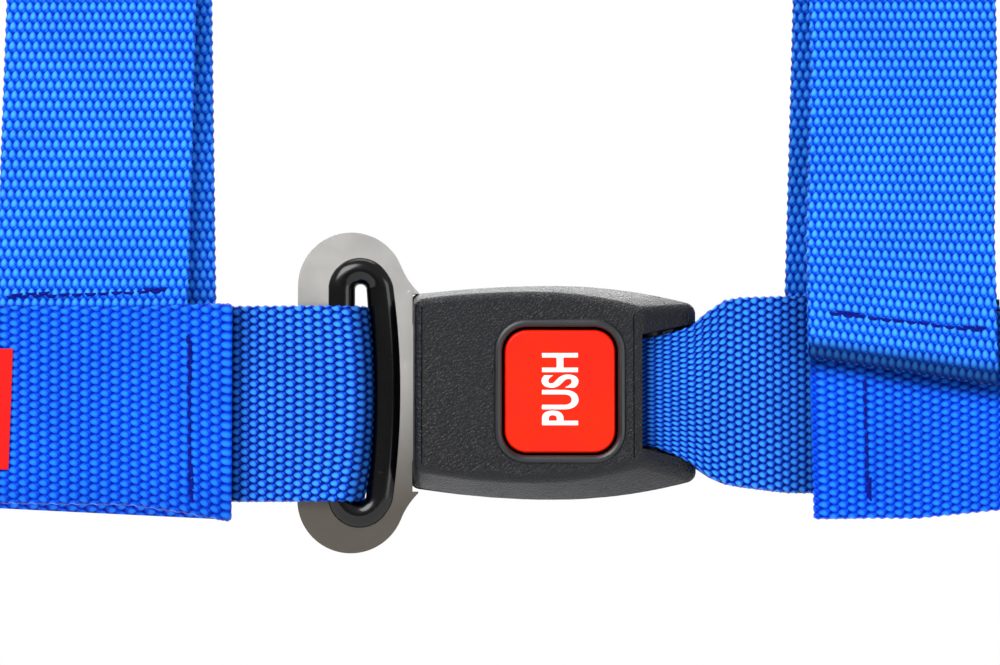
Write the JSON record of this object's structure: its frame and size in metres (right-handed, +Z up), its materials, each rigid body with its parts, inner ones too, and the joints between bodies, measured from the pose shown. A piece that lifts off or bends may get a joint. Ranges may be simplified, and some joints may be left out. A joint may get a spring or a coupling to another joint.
{
  "type": "racing harness",
  "caption": "Blue webbing racing harness with shoulder and lap straps that join at a push-button buckle and a steel tongue, with adjusters and bolt-in anchor plates.",
  "frame": {"origin": "centre of the buckle's back face, which lies against the wearer", "axes": "+X along the lap belt towards the buckle's half, +Y back towards the wearer, +Z up along the shoulder straps"},
  "size_m": [0.753, 0.023, 0.4289],
  "materials": {
    "charcoal_plastic": "fine leather grain, semi-matt",
    "black_plastic": "glossy moulded black",
    "red_plastic": "smooth satin red-orange",
    "natural_plastic": "natural acetal",
    "satin_steel": "satin plated stamped steel",
    "zinc_steel": "zinc plated",
    "spring_steel": "oiled spring steel",
    "black_steel": "black powder coat",
    "blue_webbing": "coarse woven nylon webbing",
    "blue_thread": "bonded nylon thread",
    "red_label": "woven satin label",
    "black_elastic": "ribbed elastic"
  },
  "bodies": {
    "buckle_half": {"buckle_cover": "charcoal_plastic", "buckle_base": "charcoal_plastic", "buckle_screws": "zinc_steel", "latch_frame": "zinc_steel", "webbing_bar": "zinc_steel", "latch_leaf": "spring_steel", "leaf_rivets": "zinc_steel", "button_springs": "spring_steel", "ejector_spring": "spring_steel", "buckle_loop": "blue_webbing", "right_lap_strap": "blue_webbing", "right_lap_stitching": "blue_thread", "right_shoulder_strap": "blue_webbing", "right_shoulder_stitching": "blue_thread"},
    "tongue_half": {"tongue_plate": "satin_steel", "tongue_liner": "black_plastic", "tongue_loop": "blue_webbing", "left_lap_strap": "blue_webbing", "left_lap_label": "red_label", "left_lap_stitching": "blue_thread", "left_shoulder_strap": "blue_webbing", "left_shoulder_stitching": "blue_thread"},
    "button": {"release_button": "red_plastic"},
    "ejector": {"ejector": "natural_plastic"},
    "left_lap_adjuster": {"left_lap_adjuster": "black_steel", "left_lap_anchor_strap": "blue_webbing", "left_lap_keeper": "black_elastic", "left_lap_anchor_stitching": "blue_thread"},
    "left_lap_lock_bar": {"left_lap_lock_bar": "zinc_steel"},
    "left_lap_anchor": {"left_lap_anchor": "satin_steel"},
    "right_lap_adjuster": {"right_lap_adjuster": "black_steel", "right_lap_anchor_strap": "blue_webbing", "right_lap_keeper": "black_elastic", "right_lap_anchor_stitching": "blue_thread"},
    "right_lap_lock_bar": {"right_lap_lock_bar": "zinc_steel"},
    "right_lap_anchor": {"right_lap_anchor": "satin_steel"},
    "left_shoulder_adjuster": {"left_shoulder_adjuster": "black_steel", "left_shoulder_anchor_strap": "blue_webbing", "left_shoulder_keeper": "black_elastic", "left_shoulder_anchor_stitching": "blue_thread"},
    "left_shoulder_lock_bar": {"left_shoulder_lock_bar": "zinc_steel"},
    "left_shoulder_anchor": {"left_shoulder_anchor": "satin_steel"},
    "right_shoulder_adjuster": {"right_shoulder_adjuster": "black_steel", "right_shoulder_anchor_strap": "blue_webbing", "right_shoulder_keeper": "black_elastic", "right_shoulder_anchor_stitching": "blue_thread"},
    "right_shoulder_lock_bar": {"right_shoulder_lock_bar": "zinc_steel"},
    "right_shoulder_anchor": {"right_shoulder_anchor": "satin_steel"}
  },
  "joints": [
    {"name": "tongue_release", "type": "slide", "parent": "buckle_half", "child": "tongue_half", "axis": [-1, 0, 0], "range_m": [0, 0.06]},
    {"name": "button_press", "type": "slide", "parent": "buckle_half", "child": "button", "axis": [0, 1, 0], "range_m": [0, 0.0025], "stiffness_N_per_m": 1600, "springref_m": -0.002, "deforming": ["latch_leaf", "button_springs"]},
    {"name": "ejector_travel", "type": "slide", "parent": "buckle_half", "child": "ejector", "axis": [-1, 0, 0], "range_m": [0, 0.009], "deforming": ["ejector_spring"]},
    {"name": "left_lap_adjuster_tilt", "type": "hinge", "parent": "tongue_half", "child": "left_lap_adjuster", "pos_m": [-0.192, -0.011, -0.0025], "axis": [0, 0, 1], "range_deg": [-25, 25]},
    {"name": "left_lap_lock_bar_slide", "type": "slide", "parent": "left_lap_adjuster", "child": "left_lap_lock_bar", "axis": [1, 0, 0], "range_m": [0, 0.003]},
    {"name": "left_lap_anchor_swivel", "type": "hinge", "parent": "left_lap_adjuster", "child": "left_lap_anchor", "pos_m": [-0.342, -0.011, -0.0025], "axis": [0, 0, 1], "range_deg": [-60, 60]},
    {"name": "right_lap_adjuster_tilt", "type": "hinge", "parent": "buckle_half", "child": "right_lap_adjuster", "pos_m": [0.166, -0.011, -0.007], "axis": [0, 0, 1], "range_deg": [-25, 25]},
    {"name": "right_lap_lock_bar_slide", "type": "slide", "parent": "right_lap_adjuster", "child": "right_lap_lock_bar", "axis": [-1, 0, 0], "range_m": [0, 0.003]},
    {"name": "right_lap_anchor_swivel", "type": "hinge", "parent": "right_lap_adjuster", "child": "right_lap_anchor", "pos_m": [0.316, -0.011, -0.007], "axis": [0, 0, 1], "range_deg": [-60, 60]},
    {"name": "left_shoulder_adjuster_tilt", "type": "hinge", "parent": "tongue_half", "child": "left_shoulder_adjuster", "pos_m": [-0.115, -0.011, 0.19], "axis": [1, 0, 0], "range_deg": [-25, 25]},
    {"name": "left_shoulder_lock_bar_slide", "type": "slide", "parent": "left_shoulder_adjuster", "child": "left_shoulder_lock_bar", "axis": [0, 0, -1], "range_m": [0, 0.003]},
    {"name": "left_shoulder_anchor_swivel", "type": "hinge", "parent": "left_shoulder_adjuster", "child": "left_shoulder_anchor", "pos_m": [-0.115, -0.011, 0.34], "axis": [1, 0, 0], "range_deg": [-60, 60]},
    {"name": "right_shoulder_adjuster_tilt", "type": "hinge", "parent": "buckle_half", "child": "right_shoulder_adjuster", "pos_m": [0.0895, -0.011, 0.19], "axis": [1, 0, 0], "range_deg": [-25, 25]},
    {"name": "right_shoulder_lock_bar_slide", "type": "slide", "parent": "right_shoulder_adjuster", "child": "right_shoulder_lock_bar", "axis": [0, 0, -1], "range_m": [0, 0.003]},
    {"name": "right_shoulder_anchor_swivel", "type": "hinge", "parent": "right_shoulder_adjuster", "child": "right_shoulder_anchor", "pos_m": [0.0895, -0.011, 0.34], "axis": [1, 0, 0], "range_deg": [-60, 60]}
  ],
  "couplings": [
    {"joint": "ejector_travel", "follows": "tongue_release", "ratio": 0.15}
  ]
}
